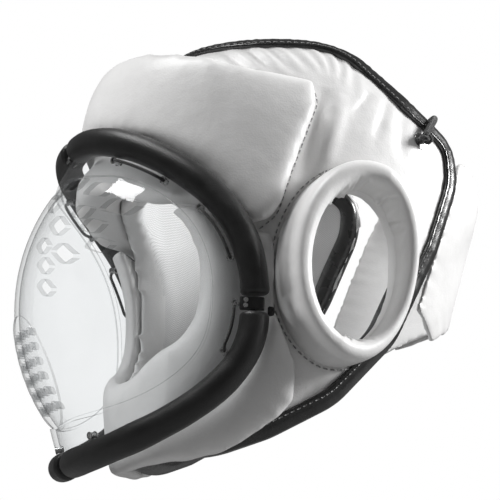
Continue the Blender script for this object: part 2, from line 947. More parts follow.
@dataclass(frozen=True)
class FoamRubber:
    """Skinned black foam rubber: satin, with fine closed cells and a dusty bloom."""

    name: str = "black_foam_rubber"
    level: float = 0.008
    rough: tuple[float, float] = (0.34, 0.48)
    cell: float = 1500.0
    cell_depth: float = 0.10
    dent: float = 45.0
    dent_depth: float = 0.5

    def material(self) -> bpy.types.Material:
        """Builds the finish.

        Returns:
            The material.
        """
        recipe = Recipe(self.name)
        bloom = recipe.noise(60.0, 4.0, 0.6)
        dusty = recipe.ramp(bloom, 0.35, 0.75, 0, 1)
        recipe.colour(recipe.blend(dusty, grey(self.level), grey(self.level * 1.9)))
        recipe.roughness(recipe.ramp(bloom, 0.3, 0.7, *self.rough))
        recipe.plain(Sheen_Weight=0.06, Sheen_Roughness=0.45)
        recipe.bumps(
            (recipe.cells(self.cell), self.cell_depth),
            (recipe.noise(2600.0, 2.0), self.cell_depth / 2),
            (recipe.noise(self.dent), self.dent_depth),
        )
        return recipe.material


@dataclass(frozen=True)
class ClearShield:
    """Thin clear polycarbonate: gloss by Fresnel over what is behind it, a faint milky haze and hairlines.

    Only faces turned to the eye have the gloss, because at the back ones Fresnel would be total.
    """

    name: str = "clear_polycarbonate"
    index: float = 1.5
    haze: float = 0.02
    level: float = 0.9
    tint: tuple[float, ...] = (0.985, 0.99, 0.992, 1.0)
    hair: float = 90.0
    hair_stretch: Triple = (1.0, 1.0, 14.0)
    rough: tuple[float, float] = (0.02, 0.12)

    def material(self) -> bpy.types.Material:
        """Builds the finish.

        Returns:
            The material.
        """
        recipe = Recipe(self.name)
        recipe.plain(Base_Color=grey(self.level, -0.012))
        stretched = recipe.node("ShaderNodeMapping", {"Vector": recipe.place(), "Scale": self.hair_stretch})
        hairs = recipe.noise(self.hair, 6.0, 0.8, stretched.outputs[0])
        rough = recipe.ramp(hairs, 0.55, 0.8, *self.rough)
        recipe.roughness(rough)
        through = recipe.node("ShaderNodeBsdfTransparent", {"Color": self.tint}).outputs[0]
        gloss = recipe.node("ShaderNodeBsdfAnisotropic", {"Roughness": rough}).outputs[0]
        to_eye = recipe.maths("SUBTRACT", 1.0, recipe.node("ShaderNodeNewGeometry").outputs["Backfacing"])
        fresnel = recipe.node("ShaderNodeFresnel", {"IOR": self.index}).outputs[0]
        clear = recipe.mix(recipe.maths("MULTIPLY", fresnel, to_eye), through, gloss)
        cloud = recipe.ramp(recipe.noise(14.0, 3.0), 0.3, 0.7, self.haze * 0.6, self.haze * 1.4)
        recipe.surface(recipe.mix(cloud, clear, recipe.shader.outputs[0]))
        return recipe.material


@dataclass(frozen=True)
class PlatedMetal:
    """Bright plated metal with small scratches and dull spots."""

    name: str = "bright_plate"
    level: float = 0.72
    rough: tuple[float, float] = (0.18, 0.42)
    spot: float = 700.0
    scratch: float = 2200.0
    scratch_depth: float = 0.02

    def material(self) -> bpy.types.Material:
        """Builds the finish.

        Returns:
            The material.
        """
        recipe = Recipe(self.name)
        spots = recipe.noise(self.spot, 5.0, 0.7)
        dulled = recipe.ramp(spots, 0.5, 0.8, 0, 1)
        recipe.colour(recipe.blend(dulled, grey(self.level), grey(self.level * 0.6, 0.03)))
        recipe.roughness(recipe.ramp(spots, 0.3, 0.75, *self.rough))
        recipe.plain(Metallic=1.0)
        recipe.bumps((recipe.noise(self.scratch, 3.0, 0.7), self.scratch_depth))
        return recipe.material


@dataclass(frozen=True)
class BlackMoulding:
    """Black moulded plastic with a fine satin texture and paler rubbed spots."""

    name: str = "black_moulding"
    level: float = 0.018
    rubbed: float = 0.10
    rough: tuple[float, float] = (0.32, 0.5)
    grain: float = 2600.0
    grain_depth: float = 0.03

    def material(self) -> bpy.types.Material:
        """Builds the finish.

        Returns:
            The material.
        """
        recipe = Recipe(self.name)
        rub = recipe.noise(420.0, 4.0, 0.7)
        recipe.colour(recipe.blend(recipe.ramp(rub, 0.55, 0.8, 0, 0.5), grey(self.level), grey(self.rubbed)))
        recipe.roughness(recipe.ramp(rub, 0.3, 0.7, *self.rough))
        recipe.bumps((recipe.cells(self.grain), self.grain_depth))
        return recipe.material


@dataclass(frozen=True)
class Braid:
    """Braided cord: two sets of strands crossing on the cord's own UV map, as the larger of two sines."""

    name: str = "black_braid"
    level: float = 0.022
    rough: tuple[float, float] = (0.6, 0.85)
    strands: float = 700.0
    strand_depth: float = 0.18
    fuzz: float = 3500.0
    fuzz_depth: float = 0.08

    def material(self) -> bpy.types.Material:
        """Builds the finish.

        Returns:
            The material.
        """
        recipe = Recipe(self.name)
        sides = recipe.node("ShaderNodeSeparateXYZ", {0: recipe.place(uv=True)})
        slants = (recipe.maths(step, sides.outputs[0], sides.outputs[1]) for step in ("ADD", "SUBTRACT"))
        weave = recipe.maths("MAXIMUM", *(recipe.wave(slant, self.strands) for slant in slants))
        fuzz = recipe.noise(self.fuzz, 3.0, 0.7)
        raised = recipe.ramp(weave, 0.0, 1.0, 0, 1)
        recipe.colour(recipe.blend(raised, grey(self.level * 0.4), grey(self.level * 2.2)))
        recipe.roughness(recipe.ramp(fuzz, 0.3, 0.7, *self.rough))
        recipe.plain(Sheen_Weight=0.4, Sheen_Roughness=0.4)
        recipe.bumps((weave, self.strand_depth), (fuzz, self.fuzz_depth))
        return recipe.material


class Cloth(Enum):
    """Kinds of woven or looped cloth on the headgear: name, colour level, threads a metre and depth."""

    LINING = ("smooth_lining", 0.72, 1500.0, 0.05)
    WEBBING = ("black_webbing", 0.028, 620.0, 0.22)
    HOOKS = ("hook_tape", 0.022, 520.0, 0.5)
    LOOPS = ("loop_tape", 0.030, 1300.0, 0.5)


@dataclass(frozen=True)
class Woven:
    """Cloth whose threads cross in a plain weave on object coordinates, with loose fibres."""

    cloth: Cloth
    rough: tuple[float, float] = (0.7, 0.95)
    fuzz: float = 2600.0

    def material(self) -> bpy.types.Material:
        """Builds the finish: two threads to a wave, and the product of the waves sideways and upwards.

        Returns:
            The material.
        """
        name, level, threads, depth = self.cloth.value
        recipe = Recipe(name)
        sides = recipe.node("ShaderNodeSeparateXYZ", {0: recipe.place()})
        ways = (recipe.maths("ADD", sides.outputs[0], sides.outputs[1]), sides.outputs[2])
        weave = recipe.maths("MULTIPLY", *(recipe.wave(way, threads / 2) for way in ways))
        fuzz = recipe.noise(self.fuzz, 4.0, 0.75)
        raised = recipe.ramp(weave, -1, 1, 0, 1)
        recipe.colour(recipe.blend(raised, grey(level * 0.75), grey(level * 1.2)))
        recipe.roughness(recipe.ramp(fuzz, 0.3, 0.7, *self.rough))
        recipe.plain(Sheen_Weight=0.3, Sheen_Roughness=0.5)
        recipe.bumps((weave, depth), (fuzz, depth * 0.8))
        return recipe.material


@dataclass(frozen=True)
class Thread:
    """Sewing thread: twisted, with a soft shine."""

    name: str
    level: float
    rough: tuple[float, float] = (0.4, 0.6)
    twist: float = 3200.0
    twist_depth: float = 0.08

    def material(self) -> bpy.types.Material:
        """Builds the finish.

        Returns:
            The material.
        """
        recipe = Recipe(self.name)
        twist = recipe.noise(self.twist, 2.0, 0.6)
        recipe.colour(recipe.blend(twist, grey(self.level * 0.7), grey(self.level * 1.15)))
        recipe.roughness(recipe.ramp(twist, 0.3, 0.7, *self.rough))
        recipe.plain(Sheen_Weight=0.2)
        recipe.bumps((twist, self.twist_depth))
        return recipe.material


class Finishes:
    """Every finish of the headgear, each built once."""

    def __init__(self) -> None:
        """Builds the materials."""
        self.white = Leather().material()
        self.binding = GlossBinding().material()
        self.foam = FoamRubber().material()
        self.clear = ClearShield().material()
        self.clear_edge = ClearShield("clear_polycarbonate_edge", haze=0.30, level=0.30).material()
        self.metal = PlatedMetal().material()
        self.clip = BlackMoulding().material()
        self.braid = Braid().material()
        self.lining = Woven(Cloth.LINING).material()
        self.webbing = Woven(Cloth.WEBBING).material()
        self.hooks = Woven(Cloth.HOOKS).material()
        self.loops = Woven(Cloth.LOOPS).material()
        self.white_thread = Thread("white_thread", 0.30).material()
        self.black_thread = Thread("black_thread", 0.22).material()


def dress(piece: Piece, *materials: bpy.types.Material) -> None:
    """Puts materials in a piece's slots, in order; a single material takes every slot.

    Args:
        piece: the piece.
        materials: a material for each slot.
    """
    for number, material in enumerate(materials):
        if number < len(piece.material_slots):
            piece.material_slots[number].material = material
        else:
            piece.data.materials.append(material)
    if len(materials) == 1:
        for slot in piece.material_slots:
            slot.material = materials[0]


def declare(piece: Piece, body: str, slot: str, *nodes: str, fill: float | None = None) -> None:
    """Declares a piece's CAD body, its material slot, the CAD nodes it stands for and how full it is.

    Args:
        piece: the finished piece.
        body: CAD body that the piece rides on.
        slot: the record's material slot.
        nodes: CAD nodes that the piece replaces, or none for a piece of the looks alone.
        fill: how firmly a padded piece is stuffed, or None for a piece that isn't padded.
    """
    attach(piece, body)
    if nodes:
        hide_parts(*nodes)


# ---- shell, binding and pads ----


@dataclass(frozen=True)
class Fold:
    """A crease in the leather between two places (Y, Z), or a ridge where its depth is negative."""

    start: tuple[float, float]
    end: tuple[float, float]
    width: float
    depth: float

    def sink(self, points: Array) -> Array:
        """How far each point sinks: depth exp(-(d / width)^2), d across the fold, fading at its two ends.

        Args:
            points: points, one per row.

        Returns:
            The depth of the fold at each point.
        """
        start, end = np.array(self.start, dtype=float), np.array(self.end, dtype=float)
        places, step = points[:, 1:] - start, end - start
        share = np.clip(places @ step / (step @ step), 0, 1)
        distance = np.linalg.norm(places - share[:, None] * step, axis=1)
        fading = np.sin(np.pi * np.clip(share, 0.02, 0.98)) ** 0.5
        return self.depth * np.exp(-((distance / self.width) ** 2)) * fading


@dataclass(frozen=True)
class Shell:
    """Padded shell of the left and right side: cover, foam and lining in one wall."""

    finishes: Finishes
    voxel: float = 3.6
    pressure: float = 2.0
    cap: float = 1.2
    pleat_wave: float = 8.5
    pleat_depth: float = 1.3
    gather_wave: float = 12.0
    gather_depth: float = 0.45
    crown_y: float = -40.0
    tuck: float = 1.2
    lining_depth: float = 1.6
    fill: float = 0.8
    folds: tuple[Fold, ...] = (
        Fold((-13, 106), (-31, 44), 5.0, 2.8),
        Fold((-3, 102), (-17, 56), 5.0, -1.8),
        Fold((16, 104), (2, 88), 2.2, 1.2),
        Fold((26, 100), (14, 74), 3.0, 1.2),
        Fold((34, 94), (30, 66), 4.0, 0.8),
        Fold((52, 40), (34, 22), 3.5, 0.8),
        Fold((34, -8), (18, -44), 4.0, 0.9),
        Fold((8, -60), (-26, -70), 3.5, 1.0),
        Fold((-20, -66), (-40, -88), 3.0, 1.0),
    )

    def build(self) -> None:
        """Makes the wall and gives it its leather and its lining."""
        nodes = tuple(f"side_{layer}_{side}" for layer in ("cover", "foam", "lining") for side in SIDES)
        wall = merged_nodes("padded_shell", nodes, self.voxel)
        relax(wall, 3)
        points = mesh_points(wall)
        distance, _ = nearest_on(points[:, 1:], resampled(SHAPE.shell_edge(), 3.0))
        held = between(np.minimum(distance, SHAPE.pad_distance(points)), 12.6, 3.6)
        swell(wall, self.pressure, self.cap, held)
        subdivide(wall)
        self.shape_leather(wall)
        centres = read_vectors(wall.data.polygons, "center") / MM
        two_slots(wall.data, HEAD.depth(centres) < self.lining_depth - SHAPE.wall)
        dress(wall, self.finishes.white, self.finishes.lining)
        declare(wall, "shell", "white_leather", *nodes, fill=self.fill)

    def shape_leather(self, wall: Piece) -> None:
        """Gathers the leather along the free edge, tucks it under the binding and sinks its creases.

        Pleats stand along the crown in front and finer gathers along the back, both as uneven waves on the
        place along the edge, kept off the binding itself. Seams are marked along the edge, the stuffed
        pads and the ear rings.

        Args:
            wall: the padded wall.
        """
        points, normals = mesh_points(wall), mesh_normals(wall)
        outside = between(HEAD.depth(points), -6, -2)
        distance, place = nearest_on(points[:, 1:], resampled(SHAPE.shell_edge(), 2.0))
        from_crown = np.abs(points[:, 1] - self.crown_y)
        at_crown = between(from_crown, 54.4, 20.4) * (points[:, 2] > 60) * between(distance, 26, 16)
        at_back = np.exp(-distance / 7) * (points[:, 1] > 10)
        slanted = place - 0.5 * distance
        pleats = ripple(slanted, self.pleat_wave, 7) * self.pleat_depth * at_crown ** 0.7
        gathers = ripple(place, self.gather_wave, 11) * self.gather_depth * at_back
        tucked = -self.tuck * np.exp(-((distance / 8) ** 2))
        free = outside * between(distance, 3, 9)
        lifted = points + normals * ((pleats + gathers) * free + tucked)[:, None]
        sunk = np.sum([fold.sink(lifted) for fold in self.folds], axis=0) * outside
        move_points(wall, lifted - normals * sunk[:, None])
        from_binding = np.maximum(distance - 8, 0)
        nearest = np.minimum.reduce((from_binding, SHAPE.pad_distance(points), EAR.outside_distance(points)))
        mark_seam(wall, np.exp(-nearest / 3.5) * outside)


@dataclass(frozen=True)
class EdgeBinding:
    """Gloss strip folded over the shell's free edge, with a row of stitches.

    The strip is its section carried round the edge, at section X inwards from it and section Y outwards
    from the head form, with fine wrinkles on its outer face.
    """

    finishes: Finishes
    width: float = 8.6
    lift: float = 1.9
    lead: float = 3.2
    nose: float = 2.4
    inner_lift: float = 1.4
    wrinkle_wave: float = 6.0
    wrinkle_depth: float = 0.22
    stitch_in: float = 6.7
    stitch_pitch: float = 3.6
    stitch_lift: float = 0.12
    stitch_sizes: Triple = (1.35, 0.42, 0.38)
    heart: Triple = (0.0, -30.0, 10.0)

    def path(self) -> Array:
        """Middle line of the edge on the left, from the front of the crown to under the chin.

        Returns:
            Points of the line.
        """
        heights = np.array([SHAPE.crown_z, SHAPE.low_z])
        _, deep, middle = HEAD.radii(heights)
        start, end = np.column_stack((middle - deep, heights))
        share = np.linspace(0, 1, 60)[:, None] ** 2
        outline = SHAPE.shell_edge()[1:-1]
        first = start + share * (outline[:1] - start)
        last = (end + share * (outline[-1:] - end))[::-1]
        spots = HEAD.on_left(np.concatenate((first, outline[1:-1], last)))
        spots[[0, -1], 0] = 0.0
        return resampled(spots, 2.4)

    def frame_at(self, loop: Array) -> tuple[Array, Array, Array]:
        """Directions along the edge, outwards from the head form and inwards from the edge.

        Args:
            loop: points of the closed edge.

        Returns:
            The three unit vectors at each point.
        """
        ahead, out = directions(loop, closed=True), HEAD.normals(loop)
        inward = unit(np.cross(out, ahead))
        to_heart = np.array(self.heart) - loop
        return ahead, out, inward * np.sign(np.einsum("ij,ij->i", inward, to_heart))[:, None]

    def build(self) -> None:
        """Makes the binding and its stitches on both sides."""
        left = self.path()
        loop = np.concatenate((left, (left * SIDES["right"])[-2:0:-1]))
        whole = np.concatenate((loop, loop[:1]))
        _, out, inward = self.frame_at(loop)
        profile = self.section()
        waves = self.wrinkle_depth * ripple(along(whole)[:-1], self.wrinkle_wave, 3)
        wrinkle = waves[:, None] * between(profile[:, 1], 0, 2)[None, :]
        grid = (
            loop[:, None]
            + inward[:, None] * profile[None, :, :1]
            + out[:, None] * (profile[None, :, 1:] + wrinkle[..., None])
        )
        strip = tube_object("edge_binding", grid, closed=True)
        dress(strip, self.finishes.binding)
        declare(strip, "shell", "black_binding", "edge_binding_left", "edge_binding_right")
        row = resampled(whole, self.stitch_pitch)[:-1]
        ahead, out, inward = self.frame_at(row)
        spots = row + inward * self.stitch_in + out * (self.lift + self.stitch_lift)
        stitches = stitch_row("binding_stitches", spots, ahead, out, self.stitch_sizes)
        dress(stitches, self.finishes.black_thread)
        declare(stitches, "shell", "black_binding")

    def section(self) -> Array:
        """Closed section: across the edge from outside it inwards, by height over the outer face.

        The outer face dips at the stitches, the nose is half an oval round the edge, and the inner face
        lies a little over the lining.

        Returns:
            Points of the section.
        """
        width, lift, depth = self.width, self.lift, SHAPE.wall + self.inner_lift
        outer = np.array([
            (width, -0.2), (width, lift * 0.8), (width - 0.5, lift), (self.stitch_in, lift - 0.35),
            (width * 0.5, lift + 0.35), (self.lead * 0.6, lift + 0.2),
        ])
        turn = np.linspace(np.pi / 2, 3 * np.pi / 2, 13)
        centre, reach = self.lead * 0.4, self.lead * 0.4 + self.nose
        height = (lift - depth) / 2 + (depth + lift) / 2 * power(np.sin(turn), 0.75)
        nose = np.column_stack((centre + reach * np.cos(turn), height))
        inner = np.array([
            (self.lead, -depth - 0.1), (width * 0.5, -depth - 0.2), (width - 0.5, -depth),
            (width, -depth + 0.6), (width, -depth + 1.6),
        ])
        return np.concatenate((outer, nose, inner))


def rim_turns(start: float, end: float, step: float = 0.5) -> Array:
    """Turns along the rim in degrees, close together."""
    return np.linspace(start, end, max(2, int(abs(end - start) / step) + 1))


@dataclass(frozen=True)
class Rim:
    """The bumper line round the shield, and the flange between it and the dome.

    Seen from the front the line is a rounded square, |x / a|^n + |z / b|^n = 1, with one b above the middle
    and another below. It runs forward with the height's share to a power. The dome is an ellipsoid.
    """

    half_width: float = 98.0
    side_y: float = -62.0
    side_z: float = -27.0
    up: float = 102.0
    down: float = 77.5
    forward: float = 73.0
    squareness: float = 2.6
    sweep: float = 2.5
    dome_centre: Triple = (0.0, -64.0, -14.0)
    dome_axes: Triple = (90.0, 103.0, 108.0)
    side_rise: float = 21.0
    top_rise: float = 7.5

    def points(self, turns: Array) -> Array:
        """Points of the bumper line; 0 degrees is the top, 90 the left side and 180 the bottom.

        Args:
            turns: turns in degrees.

        Returns:
            One point for each turn.
        """
        angle = np.radians(turns)
        right, up = np.sin(angle), np.cos(angle)
        height = np.where(up > 0, self.up, self.down)
        sideways, upright = np.abs(right) / self.half_width, np.abs(up) / height
        reach = (sideways ** self.squareness + upright ** self.squareness) ** (-1 / self.squareness)
        ahead = self.forward * (np.abs(up) * reach / height) ** self.sweep
        return np.column_stack((reach * right, self.side_y - ahead, self.side_z + reach * up))

    def inner(self, turns: Array) -> Array:
        """Points of the flange's inner edge: the rim's, brought forward and then drawn in to the dome.

        Args:
            turns: turns in degrees.

        Returns:
            One point for each turn.
        """
        rim = self.points(turns)
        centre, (wide, deep, high) = np.array(self.dome_centre), self.dome_axes
        share = (self.side_y - rim[:, 1]) / self.forward
        y = rim[:, 1] - self.side_rise + (self.side_rise - self.top_rise) * share
        across, up = rim[:, 0] / wide, (rim[:, 2] - centre[2]) / high
        reach = np.sqrt(1 - ((y - centre[1]) / deep) ** 2) / np.hypot(across, up)
        return np.column_stack((wide * across * reach, y, centre[2] + high * up * reach))

    def flange(self, turns: Array, inset: float) -> tuple[Array, Array]:
        """Points on the flange's middle, a distance inside the bumper line, and its outward normals.

        Args:
            turns: turns in degrees.
            inset: distance from the bumper line.

        Returns:
            The points and the normals.
        """
        rim = self.points(turns)
        inward = unit(self.inner(turns) - rim)
        ahead = unit(self.points(turns + 1) - self.points(turns - 1))
        across = np.cross(inward, ahead)
        slant = np.linalg.norm(across, axis=1)
        outward = unit(across)
        outward *= np.sign(np.einsum("ij,ij->i", outward, rim - np.array(self.dome_centre)))[:, None]
        return rim + inward * (inset / slant)[:, None], outward

    def dome_share(self, points: Array, grow: float = 0.0) -> Array:
        """How far out each point is in the dome's ellipsoid: 1 on its face."""
        axes = np.array(self.dome_axes) + grow
        return np.linalg.norm((points - np.array(self.dome_centre)) / axes, axis=1)

    def distance(self, points: Array) -> Array:
        """Distance of each point from the bumper line."""
        line = self.points(np.arange(0, 360, 3.0))
        return np.sqrt(((points[:, None] - line[None]) ** 2).sum(axis=2).min(axis=1))


RIM = Rim()


@dataclass(frozen=True)
class StuffedPad:
    """A leather pad stuffed with foam on the shell: blown up, then puckered along its seam.

    crest raises the pad at the crown's front, front_ease draws its foremost part back and down, and
    side_sink lets its sides down to the shell.
    """

    name: str
    nodes: tuple[str, ...]
    outline: Corners
    finishes: Finishes
    voxel: float = 4.0
    pressure: float = 3.5
    cap: float = 3.5
    soften: int = 6
    crest: float = 0.0
    front_ease: float = 0.0
    side_sink: float = 0.0
    pucker: float = 0.45
    wave: float = 11.0
    swag: float = 0.35
    swag_wave: float = 46.0
    swag_way: Triple = (0.5, 0.6, 0.62)
    seed: int = 5
    fill: float = 0.9

    def build(self) -> None:
        pad = merged_nodes(self.name, self.nodes, self.voxel)
        relax(pad, self.soften)
        points = self.eased(mesh_points(pad))
        move_points(pad, points)
        on_shell = between(HEAD.depth(points), 3, 1)
        at_dome = between(RIM.dome_share(points, -4.0), 0.965, 0.985) * (points[:, 1] < -70)
        at_rim = between(RIM.distance(points), 16, 11)
        swell(pad, self.pressure, self.cap, np.maximum.reduce((on_shell, at_dome, at_rim)))
        subdivide(pad)
        self.shape_leather(pad)
        dress(pad, self.finishes.white)
        declare(pad, "shell", "white_leather", *self.nodes, fill=self.fill)

    def eased(self, points: Array) -> Array:
        """Points of the pad after its crest, its front and its sides are moved, each by a smooth share.

        Args:
            points: points of the pad, which are changed.

        Returns:
            The moved points.
        """
        at_crown = between(points[:, 1], -40, -80) * between(points[:, 2], 60, 105)
        points[:, 2] += self.crest * at_crown ** 1.5
        ahead = between(points[:, 1], -98, -118) * between(RIM.distance(points), 10, 20)
        points[:, 1] += self.front_ease * ahead
        points[:, 2] -= self.front_ease * ahead ** 2
        beside = between(points[:, 1], -68, -60) * between(points[:, 2], -40, -24)
        sunk = self.side_sink * beside * np.clip(HEAD.depth(points), 0, None)
        return points - HEAD.normals(points) * sunk[:, None]

    def shape_leather(self, pad: Piece) -> None:
        """Puckers the leather near the pad's seam, waves it softly all over and marks the seam.

        Args:
            pad: the pad.
        """
        points, normals = mesh_points(pad), mesh_normals(pad)
        distance, place = nearest_on(points[:, 1:], SHAPE.pad_edge(self.outline))
        low = between(HEAD.depth(points), 13, 3)
        near = np.exp(-distance / 8) * (0.35 + 0.65 * low)
        lift = ripple(place, self.wave, self.seed) * self.pucker * near
        lift += self.swag * ripple(points @ np.array(self.swag_way), self.swag_wave, self.seed + 1)
        move_points(pad, points + normals * lift[:, None])
        mark_seam(pad, np.exp(-distance / 3) * low)


def sewn_line(
    name: str, side: str, spots: Array, normals: Array, lift: float, thread: bpy.types.Material,
    pitch: float = 4.2,
) -> None:
    """A dashed row of stitches along a line on one side of the shell.

    Args:
        name: the piece's name, without the side.
        side: left, or right for the mirrored row.
        spots: points of the left line, close together.
        normals: the surface's normal at each.
        lift: height of the stitches' middle over the line.
        thread: the thread's finish.
        pitch: distance from one stitch to the next.
    """
    half_length, half_width, half_height = pitch * 0.36, 0.45, 0.4
    sizes = (half_length, half_width, half_height)
    line = np.column_stack(((spots + normals * lift) * SIDES[side], normals * SIDES[side]))
    both = resampled(line, pitch)
    middle, up = both[:, :3], unit(both[:, 3:])
    row = stitch_row(f"{name}_{side}", middle, directions(middle), up, sizes)
    dress(row, thread)
    declare(row, "shell", "white_leather")


@dataclass(frozen=True)
class SeamStitches:
    """The dashed row that sews the forehead pad's back edge to the shell, on both sides."""

    finishes: Finishes
    corners: Corners = ((-60, 111), (-22.5, 107), (-18, 95), (-36, 49), (-44, 26), (-52, 19))
    lift: float = 0.35

    def build(self) -> None:
        """Makes the left and the right row."""
        left = HEAD.on_left(rounded(self.corners, SHAPE.pad_bend))
        normals, thread = HEAD.normals(left), self.finishes.white_thread
        for side in SIDES:
            sewn_line("forehead_stitches", side, left, normals, self.lift, thread)


# ---- ear rings ----


@dataclass(frozen=True)
class EarRing:
    """Padded oval roll round one ear: a closed section carried round a leaning oval.

    A point is at a turn round the ring and an angle round its section. The angle gives a share, from the
    hole's wall to the outer wall, and a rise, from the shell to the crest. Towards the back the roll is
    slimmer by slim and lower by dip.
    """

    y: float = -5.0
    z: float = -1.5
    lean: float = 8.0
    hole: tuple[float, float] = (29.0, 44.0)
    tube: float = 12.0
    top: float = 116.0
    sunk: float = 2.5
    slim: float = 5.0
    dip: float = 11.0
    back_turn: float = 1.8
    bulge: float = 0.045
    pucker: float = 0.012
    stitch_share: float = 1.14
    stitch_lift: float = 0.3
    fill: float = 0.9
    rows: int = 220
    around: int = 72

    def rearward(self, turn: Array) -> Array:
        """1 at the back of the ring, falling to 0 a quarter of a turn away."""
        return power(np.clip(np.cos(turn - self.back_turn), 0, 1), 1.3)

    def oval(self, turn: Array, share: Array) -> Array:
        """(Y, Z) at a turn round the ring, share 0 at the hole's wall and 1 at the outer wall.

        Args:
            turn: turns round the ring.
            share: share across the roll at each turn.

        Returns:
            The places.
        """
        tube = self.tube - self.slim * self.rearward(turn)
        grown_y = (self.hole[0] + share * tube) * np.sin(turn)
        grown_z = (self.hole[1] + share * tube) * np.cos(turn)
        slant = radians(self.lean)
        y = self.y + grown_y * np.cos(slant) + grown_z * np.sin(slant)
        z = self.z - grown_y * np.sin(slant) + grown_z * np.cos(slant)
        return np.stack((y, z), axis=-1)

    def outside_distance(self, points: Array) -> Array:
        """Distance of points, seen from the side, from the ring's outer wall."""
        turn = np.linspace(0, 2 * np.pi, 121)
        return nearest_on(points[:, 1:], self.oval(turn, np.ones_like(turn)))[0]

    def grid(self) -> Array:
        """Points of the left roll: share and rise follow a rounded square, squarer at the foot.

        The walls bulge, narrow pinches gather the leather into the hole, and fine puckers run round the
        outer wall.

        Returns:
            Points, turns by points round the section by 3.
        """
        turn = np.linspace(0, 2 * np.pi, self.rows, endpoint=False)[:, None]
        angle = np.linspace(0, 2 * np.pi, self.around, endpoint=False)[None, :]
        crown = np.sin(angle) > 0
        share = 0.5 - 0.5 * power(np.cos(angle), np.where(crown, 0.86, 0.18))
        rise = 0.5 + 0.5 * power(np.sin(angle), np.where(crown, 0.50, 0.18))
        turn, share, rise = np.broadcast_arrays(turn, share, rise)
        share = share + self.bulge * np.sin(np.pi * np.clip(rise, 0, 1)) * np.sign(share - 0.5)
        inner = between(share, 0.35, 0)
        pinch = self.pinches(turn / (2 * np.pi), rise)
        share = share + pinch * inner
        rise = rise - 0.6 * np.abs(pinch) * inner * (rise > 0.5)
        flat = self.oval(turn, share)
        foot = HEAD.across(flat[..., 0], flat[..., 1]) - self.sunk
        pucker = self.pucker * ripple((turn * 45).ravel(), 9.0, 21).reshape(turn.shape)
        rise = rise + pucker * between(share, 0.5, 1) * np.sin(np.pi * np.clip(rise, 0, 1))
        x = foot + rise * (self.top - self.dip * self.rearward(turn) - foot)
        return np.concatenate((x[..., None], flat), axis=-1)

    @staticmethod
    def pinches(place: Array, rise: Array) -> Array:
        """Gathers of the leather at the hole: narrow folds at random places, each with a low ridge beside it.

        A fold is exp(-(d / w)^2) - 0.45 exp(-(d / w - 2)^2), with d the share of a turn from its middle.

        Args:
            place: share of a turn round the ring, from the top.
            rise: share of the roll's height.

        Returns:
            The change of the share across the roll.
        """
        source = np.random.default_rng(12)
        at_top, at_foot, anywhere = ((-0.13, 0.16, 11), (0.40, 0.62, 7), (0, 1, 8))
        spots = np.concatenate([source.uniform(*spread) for spread in (at_top, at_foot, anywhere)])
        widths = source.uniform(0.0035, 0.009, len(spots))
        deep = np.arange(len(spots)) < at_top[2] + at_foot[2]
        depths = source.uniform(0.09, 0.24, len(spots)) * np.where(deep, 1.0, 0.35)
        total = np.zeros_like(place)
        for spot, width, depth in zip(spots, widths, depths):
            off = ((place - spot + 0.004 * np.sin(9 * rise + spot * 40) + 0.5) % 1 - 0.5) / width
            total = total + depth * (np.exp(-(off ** 2)) - 0.45 * np.exp(-((off - 2) ** 2)))
        return -total * np.sin(np.pi * np.clip(rise * 0.9 + 0.08, 0, 1))

    def build(self, finishes: Finishes) -> None:
        """Makes the left and the right roll with their seam stitches.

        Args:
            finishes: the headgear's finishes.
        """
        grid = self.grid()
        turn = np.linspace(0, 2 * np.pi, 200)
        seam = HEAD.on_left(self.oval(turn, np.full_like(turn, self.stitch_share)))
        normals, thread = HEAD.normals(seam), finishes.white_thread
        for side, mirror in SIDES.items():
            roll = tube_object(f"ear_ring_{side}", grid * mirror, closed=True)
            mark_seam(roll, np.exp(-np.abs(HEAD.depth(mesh_points(roll))) / 2.5))
            dress(roll, finishes.white)
            cad = (f"ear_cover_{side}", f"ear_foam_{side}")
            declare(roll, "shell", "white_leather", *cad, fill=self.fill)
            sewn_line("ear_ring_stitches", side, seam, normals, self.stitch_lift, thread)


EAR = EarRing()


# ---- bumper, lacing and shield ----


@dataclass(frozen=True)
class Bumper:
    """Four foam-rubber tubes round the shield's rim, a little uneven, with rounded ends."""

    finishes: Finishes
    radius: float = 8.0
    edge: float = 2.6
    uneven: float = 0.16
    uneven_wave: float = 34.0
    spans: tuple[tuple[str, float, float], ...] = (("upper", 2.4, 87.2), ("lower", 92.8, 176.7))

    def build(self) -> None:
        """Makes the four tubes."""
        for name, start, end in self.spans:
            path = resampled(RIM.points(rim_turns(start, end)), 1.8)
            line, sizes = domed_ends(path, self.radius, self.edge)
            full = sizes > self.radius - 0.1
            sizes = sizes + self.uneven * ripple(along(line), self.uneven_wave, 31) * full
            for side, mirror in SIDES.items():
                tube = round_tube(f"bumper_tube_{name}_{side}", line * mirror, sizes, around=40)
                dress(tube, self.finishes.foam)
                declare(tube, "shell", "bumper_foam", f"bumper_{name}_{side}", fill=1.0)


def smooth_route(points: Array) -> Array:
    """Points along a cord's smooth line, for which the route's points are the control points.

    Args:
        points: points of the route.

    Returns:
        Points of the line, close together.
    """
    name = "route"
    curve = bpy.data.curves.new(name, "CURVE")
    curve.dimensions = "3D"
    curve.resolution_u = 12
    spline = curve.splines.new("NURBS")
    spline.points.add(len(points) - 1)
    spline.points.foreach_set("co", np.column_stack((points * MM, np.ones(len(points)))).ravel())
    spline.order_u = 3
    spline.use_endpoint_u = True
    carrier = bpy.data.objects.new(name, curve)
    bpy.context.scene.collection.objects.link(carrier)
    graph = bpy.context.evaluated_depsgraph_get()
    mesh = bpy.data.meshes.new_from_object(carrier.evaluated_get(graph))
    line = read_vectors(mesh.vertices, "co") / MM
    bpy.data.objects.remove(carrier)
    bpy.data.curves.remove(curve)
    bpy.data.meshes.remove(mesh)
    return line


